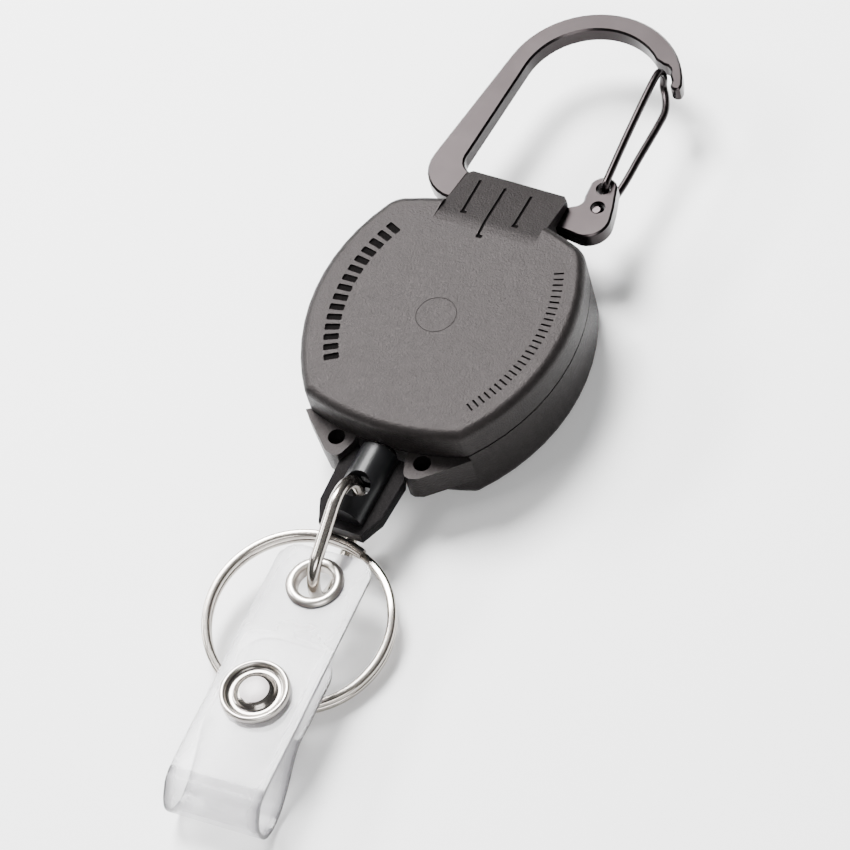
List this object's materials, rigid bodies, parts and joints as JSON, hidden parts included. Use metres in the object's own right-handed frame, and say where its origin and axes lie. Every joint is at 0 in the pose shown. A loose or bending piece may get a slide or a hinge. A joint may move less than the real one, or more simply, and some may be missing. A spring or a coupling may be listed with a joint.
{
  "type": "retractable badge reel",
  "caption": "Retractable badge reel: flattened round case on a wire-gate carabiner, with a pull cord that ends in a docking head, an oval link, a split key ring and a clear snap strap.",
  "frame": {"origin": "on the spool's axis, in the plane of the case's flat back", "axes": "+Z out of the case's front face, +Y from the spool's axis towards the carabiner, +X towards the carabiner's gate"},
  "size_m": [0.04, 0.1439, 0.0152],
  "materials": {
    "case_plastic": "fine-grained matte dark warm grey",
    "black_plastic": "glossy black",
    "spool_plastic": "natural off-white moulded plastic",
    "gunmetal": "satin warm dark grey plating",
    "nickel": "polished nickel plating",
    "steel": "plain rolled steel",
    "cord_fibre": "black braided cord",
    "vinyl": "clear, slightly milky flexible vinyl"
  },
  "bodies": {
    "case": {"rear_cover": "case_plastic", "front_cover": "case_plastic", "carabiner_plate": "gunmetal", "arbor_post": "steel", "power_spring": "steel", "spool_washer": "nickel", "cord_bushing": "nickel", "cord_lead": "cord_fibre"},
    "spool": {"spool": "spool_plastic", "spring_cover": "spool_plastic", "wound_cord": "cord_fibre"},
    "gate": {"gate_wire": "gunmetal"},
    "head": {"docking_head": "black_plastic", "cord_knot": "nickel"},
    "link": {"oval_link": "nickel"},
    "ring": {"split_ring": "nickel"},
    "strap": {"strap_front": "vinyl", "grommet_front": "nickel", "grommet_washer": "nickel", "snap_cap": "nickel", "snap_socket": "nickel"},
    "flap": {"strap_flap": "vinyl", "snap_stud": "nickel", "snap_back_cap": "nickel"}
  },
  "joints": [
    {"name": "gate_hinge", "type": "hinge", "parent": "case", "child": "gate", "pos_m": [0.01225, 0.02935, 0.0099], "axis": [0, 0, 1], "range_deg": [0, 22], "stiffness_Nm_per_rad": 0.02, "springref_deg": -17.19},
    {"name": "cord_pull", "type": "slide", "parent": "case", "child": "head", "axis": [0, -1, 0], "range_m": [0, 0.6], "stiffness_N_per_m": 2, "springref_m": -0.25},
    {"name": "spool_turn", "type": "hinge", "parent": "case", "child": "spool", "pos_m": [0, 0, 0.006], "axis": [0, 0, 1], "range_deg": [0, 2400]},
    {"name": "link_swing", "type": "hinge", "parent": "head", "child": "link", "pos_m": [-0.0003, -0.03238, 0.0085], "axis": [0.9981, 0.061, 0], "range_deg": [-70, 35]},
    {"name": "strap_swing", "type": "hinge", "parent": "link", "child": "strap", "pos_m": [0.0004, -0.0434, 0.0073], "axis": [0.9981, 0.061, 0], "range_deg": [-25, 0]},
    {"name": "flap_open", "type": "hinge", "parent": "strap", "child": "flap", "pos_m": [0.0027, -0.08103, 0.00435], "axis": [-0.9981, -0.061, 0], "range_deg": [0, 60]},
    {"name": "ring_swing", "type": "hinge", "parent": "link", "child": "ring", "pos_m": [-0.0008, -0.03455, 0.00485], "axis": [1, 0, 0], "range_deg": [0, 84]}
  ],
  "couplings": [
    {"joint": "spool_turn", "follows": "cord_pull", "rad_per_m": 69.7},
    {"joint": "ring_swing", "follows": "flap_open", "ratio": 1.4}
  ]
}
